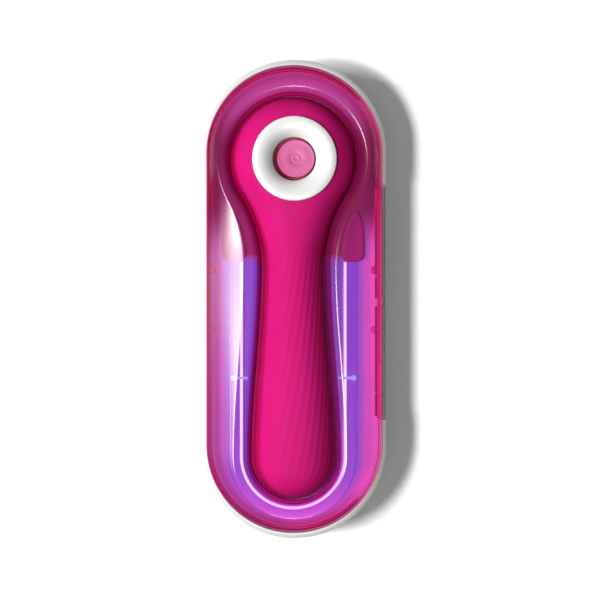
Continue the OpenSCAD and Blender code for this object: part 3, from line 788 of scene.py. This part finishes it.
def make_button():
    """Pressed cap, set a little off the middle of its hole, on a wider flange."""
    top = button_high.z
    low = button_low.z + 3.2 * MM
    flange_top = low + BUTTON_FLANGE_T
    r = BUTTON_R
    profile = [(0, low), (BUTTON_FLANGE_R, low), (BUTTON_FLANGE_R, flange_top),
               (r + 0.1 * MM, flange_top), (r, BUTTON_FACE_Z)]
    profile += arc(r - 0.5 * MM, top - 0.5 * MM, 0.5 * MM, 20, 90, 6)
    profile += [(r - 0.9 * MM, top - 0.10 * MM), (r - 1.3 * MM, top - 0.14 * MM),
                (4.6 * MM, top - 0.12 * MM), (2.3 * MM, top - 0.10 * MM),
                (2.0 * MM, top - 0.24 * MM), (1.6 * MM, top - 0.10 * MM),
                (0.9 * MM, top - 0.12 * MM), (0.7 * MM, top - 0.2 * MM), (0, top - 0.2 * MM)]
    button = lathe("thumb_button", profile, Vector((0, HEAD_Y, 0)), 128, 50, closed=False)
    for v in button.data.vertices:
        up = ease((v.co.z - flange_top) / (1.2 * MM))
        v.co.x += BUTTON_SHIFT.x * up
        v.co.y += BUTTON_SHIFT.y * up
    return button


finish_piece(make_ring(), "ring_white", "scrubber", "bezel_ring")
finish_piece(make_button(), "button_pink", "button", "power_button")


# ---------------------------------------------------------------- lamp covers

def arch_outline(grow, steps=28):
    """Pointed arch of a lamp cover: full below, with curved sides that meet in a tip."""
    half, low_h, up_h = 4.9 * MM + grow, 3.8 * MM + grow, 17.4 * MM + grow
    base = Vector((24.5, 19.0)) * MM
    lean, fullness = 1.4 * MM, 2.6
    right = []
    for i in range(steps + 1):
        v = math.sin(math.pi / 2 * i / steps)
        right.append((base.x + half * (1 - v ** fullness) ** (1 / fullness), base.y - low_h * v))
    right.reverse()
    for i in range(1, steps + 1):
        v = 1 - (1 - i / steps) ** 1.6
        right.append((base.x + lean * v ** 1.3 + half * (1 - v * v) ** 0.7, base.y + up_h * v))
    left = []
    for x, y in reversed(right[1:-1]):
        v = max(0.0, (y - base.y) / up_h)
        left.append((2 * (base.x + lean * v ** 1.3) - x, y))
    return [Vector(p) for p in right + left]


def make_cover(side):
    """Rounded cap over a lamp, as rings of growing inset at shares of its height."""
    low, high = cover_low.z, cover_high.z
    levels = [(0.0, 0.0), (0.0, 0.55), (-0.25, 0.8), (-0.7, 0.95), (-1.4, 1.0), (-2.6, 0.97),
              (-3.6, 0.93)]
    verts, n = [], 0
    for grow, share in levels:
        ring = arch_outline(grow * MM)
        n = len(ring)
        verts += [(side * p.x, p.y, mix(low, high, share)) for p in ring]
    faces = ring_faces(len(levels), n, close_m=False)
    faces.append(tuple(range((len(levels) - 1) * n, len(levels) * n)))
    faces.append(tuple(reversed(range(n))))
    return mesh_object("lamp_cover_right" if side > 0 else "lamp_cover_left", verts, faces, 50)


finish_piece(make_cover(1), "cover_magenta", "case", "led_covers")
finish_piece(make_cover(-1), "cover_magenta", "case", "led_covers")


# ---------------------------------------------------------------- light guide with its rib

def sweep_u(name, section, sharp=50, bend=72, straight=24):
    """Sweeps a closed section of (distance from the middle line, z) along the U."""
    path = [(-1, 0, mix(GUIDE_TOP_Y, BULB_Y, i / straight)) for i in range(straight)]
    for i in range(bend + 1):
        a = math.pi * i / bend
        path.append((-math.cos(a), -math.sin(a), BULB_Y))
    path += [(1, 0, mix(BULB_Y, GUIDE_TOP_Y, (i + 1) / straight)) for i in range(straight)]
    verts = [(dx * d, y + dy * d, z) for dx, dy, y in path for d, z in section]
    n, m = len(section), len(path)
    faces = ring_faces(m, n, close_m=False)
    faces += [tuple(range(n)), tuple(reversed(range((m - 1) * n, m * n)))]
    return mesh_object(name, verts, faces, sharp)


def make_guide():
    return sweep_u("light_guide_bar", rounded([
        (GUIDE_IN, GUIDE_LOW, 0), (GUIDE_IN, GUIDE_TOP, 0.5 * MM),
        (GUIDE_OUT, GUIDE_TOP, 0.8 * MM), (GUIDE_OUT, GUIDE_LOW, 0)]))


def make_rib():
    return sweep_u("light_guide_rib", [
        (RIB_X + RIB_R * math.cos(a), RIB_Z + RIB_R * math.sin(a))
        for a in (2 * math.pi * i / 20 for i in range(20))], None)


finish_piece(make_guide(), "guide_violet", "case", "light_guide")
# The rib's glow stands partly for the lit guide's own light and partly for a painted highlight line
# along the rib.
rib = finish_piece(make_rib(), "lamp_white", "case", "light_guide")
rib.visible_diffuse = rib.visible_glossy = False    # its glow doesn't light what is round it


# ---------------------------------------------------------------- scrub pad

def make_pad():
    """Round pad with rings of round-tipped nubs that point down."""
    low, high = pad_low.z, pad_high.z
    face = low + 1.8 * MM
    r = pad_high.x
    nub, pitch, rings = 0.9 * MM, 3.3 * MM, 4
    parts_v, parts_f = [], []

    def take(profile, centre, steps):
        base = len(parts_v)
        piece = lathe("part", profile, centre, steps, closed=False)
        parts_v.extend(tuple(v.co) for v in piece.data.vertices)
        parts_f.extend(tuple(base + i for i in p.vertices) for p in piece.data.polygons)
        mesh = piece.data
        bpy.data.objects.remove(piece)
        bpy.data.meshes.remove(mesh)

    centre = Vector((0, HEAD_Y, 0))
    take([(0, high), (r - 0.3 * MM, high), (r, high - 0.3 * MM), (r, face + 0.5 * MM),
          (r - 0.5 * MM, face), (0, face)], centre, 96)
    profile = [(nub * 1.15, face + 0.1 * MM), (nub, face - 0.3 * MM)]
    profile += [(nub * math.cos(a), low + nub - nub * math.sin(a))
                for a in (math.radians(15 * k) for k in range(0, 6))]
    profile += [(0, low)]
    spots = [Vector((0, 0, 0))]
    for ring in range(1, rings + 1):
        for k in range(6 * ring):
            a = math.radians(60 * k / ring)
            spots.append(Vector((math.cos(a), math.sin(a), 0)) * pitch * ring)
    for spot in spots:
        take(profile, centre + spot, 16)
    return mesh_object("nub_pad", parts_v, parts_f, 50)


finish_piece(make_pad(), "skin_magenta", "scrubber", "scrub_pad")


# ---------------------------------------------------------------- floor, light and camera

LIGHT_AIM = Vector((0, 0, 0.02))


def make_floor():
    size = 3.0
    corners = [(-size, -size, 0), (size, -size, 0), (size, size, 0), (-size, size, 0)]
    floor = mesh_object("floor", corners, [(0, 1, 2, 3)])
    floor.data.materials.append(plastic("floor_white", rgb(0.90, 0.90, 0.90), rgb(0.91, 0.91, 0.91),
                                        (0.85, 0.95), 300.0, 0.00001, 0.1, 8.0))


def area_light(name, place, size, power):
    """Rectangular light aimed at the object; size is along the object, then across it."""
    data = bpy.data.lights.new(name, "AREA")
    data.shape = "RECTANGLE"
    data.size, data.size_y = size
    data.energy = power
    obj = bpy.data.objects.new(name, data)
    obj.location = place
    obj.rotation_euler = (LIGHT_AIM - Vector(place)).to_track_quat("-Z", "Y").to_euler()
    bpy.context.scene.collection.objects.link(obj)
    return obj


def make_world(strength):
    world = bpy.data.worlds.new("studio")
    world.use_nodes = True
    background = world.node_tree.nodes["Background"]
    background.inputs["Color"].default_value = rgb(1, 1, 1)
    background.inputs["Strength"].default_value = strength
    bpy.context.scene.world = world


def make_camera():
    """Camera above the object, a little to its left, that takes in frame_width at aim_z."""
    data = bpy.data.cameras.new("camera")
    height, aim_z = 1.0, 0.022
    frame_width = 0.246
    data.sensor_width = 36
    data.lens = data.sensor_width * (height - aim_z) / frame_width
    data.clip_start = 0.05
    camera = bpy.data.objects.new("camera", data)
    aim_x, stand_x = 2.7 * MM, -29 * MM
    camera.location = (stand_x, -0.4 * MM, height)
    camera.rotation_euler = (0, -math.atan2(aim_x - stand_x, height - aim_z), 0)
    bpy.context.scene.collection.objects.link(camera)
    bpy.context.scene.camera = camera


make_floor()
make_world(0.27)
area_light("key", (-0.465, -0.095, 0.997), (0.23, 0.13), 12.5)
side = area_light("side", (-1.00, 0.05, 0.72), (0.5, 0.35), 20.0)
side.visible_glossy = False            # lights the colours only
front = area_light("front", (0.02, -0.42, 0.95), (0.15, 0.10), 7.0)
front.visible_diffuse = False          # shows in reflections only
make_camera()
bpy.context.scene.view_settings.view_transform = "Standard"
